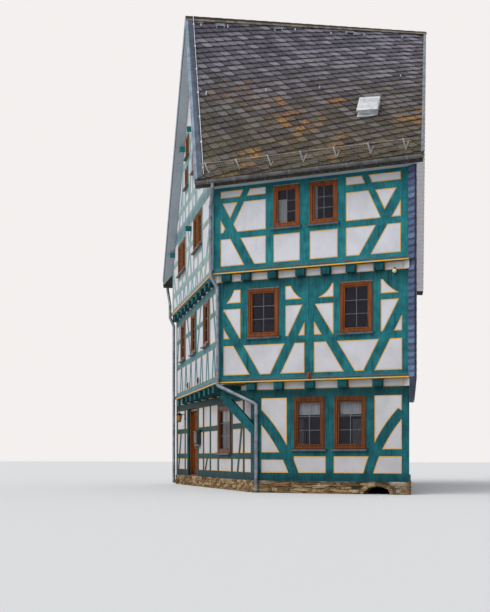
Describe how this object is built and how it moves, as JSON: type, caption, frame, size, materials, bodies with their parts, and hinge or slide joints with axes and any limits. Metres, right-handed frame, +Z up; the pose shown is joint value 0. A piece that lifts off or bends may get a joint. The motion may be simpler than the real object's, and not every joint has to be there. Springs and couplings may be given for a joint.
{
  "type": "half timbered house",
  "caption": "Corner house with painted timber framing, plaster panels, two jettied storeys over a splayed entrance wall, hung slates on one side and a steep twisted slate roof; the entrance door opens.",
  "frame": {"origin": "Middle of the bounding box in plan, on the lowest ground that the stone plinth stands on.", "axes": "+Z is up; +X runs along the street front from the gable side to the party side; the street front faces -Y."},
  "size_m": [10.7956, 12.553, 12.75],
  "materials": {
    "floor_wood": "oiled",
    "timber_paint": "satin paint",
    "zinc": "weathered",
    "verge_paint": "painted",
    "door_wood": "varnished",
    "lime_plaster": "matte",
    "slate": "matte",
    "dark_metal": "satin",
    "rubble_stone": "rough",
    "window_wood": "varnished",
    "window_glass": "clear"
  },
  "bodies": {
    "house": {"attic_floor": "floor_wood", "corner_bracket": "timber_paint", "downpipes": "zinc", "eaves_soffit": "verge_paint", "entrance_door_frame": "door_wood", "entrance_wall_infill_front": "lime_plaster", "entrance_wall_infill_over": "lime_plaster", "entrance_wall_infill_rear": "lime_plaster", "entrance_wall_timbers_front": "timber_paint", "entrance_wall_timbers_over": "timber_paint", "entrance_wall_timbers_rear": "timber_paint", "first_floor": "floor_wood", "first_floor_front_infill": "lime_plaster", "first_floor_front_timbers": "timber_paint", "first_floor_side_infill": "lime_plaster", "first_floor_side_timbers": "timber_paint", "front_roof_slope": "slate", "gable_infill": "lime_plaster", "gable_timbers": "timber_paint", "ground_floor": "floor_wood", "ground_front_infill": "lime_plaster", "ground_front_timbers": "timber_paint", "gutters": "zinc", "jetty_beam_ends": "timber_paint", "jetty_infill": "lime_plaster", "letter_box": "dark_metal", "purlin_ends": "timber_paint", "rear_infill": "lime_plaster", "rear_roof_slope": "slate", "rear_timbers": "timber_paint", "right_slate_cladding": "slate", "right_wall": "lime_plaster", "roof_hatch": "zinc", "second_floor": "floor_wood", "second_floor_front_infill": "lime_plaster", "second_floor_front_timbers": "timber_paint", "second_floor_side_infill": "lime_plaster", "second_floor_side_timbers": "timber_paint", "snow_guard": "zinc", "stone_plinth": "rubble_stone", "verge_boards": "verge_paint", "wall_lantern": "dark_metal", "window_frames": "window_wood", "window_glass": "window_glass"},
    "entrance_door": {"entrance_door": "door_wood"}
  },
  "joints": [
    {"name": "entrance_door_hinge", "type": "hinge", "parent": "house", "child": "entrance_door", "pos_m": [-3.47468, -0.2613, 0.33], "axis": [0, 0, 1], "range_deg": [0, 100]}
  ]
}
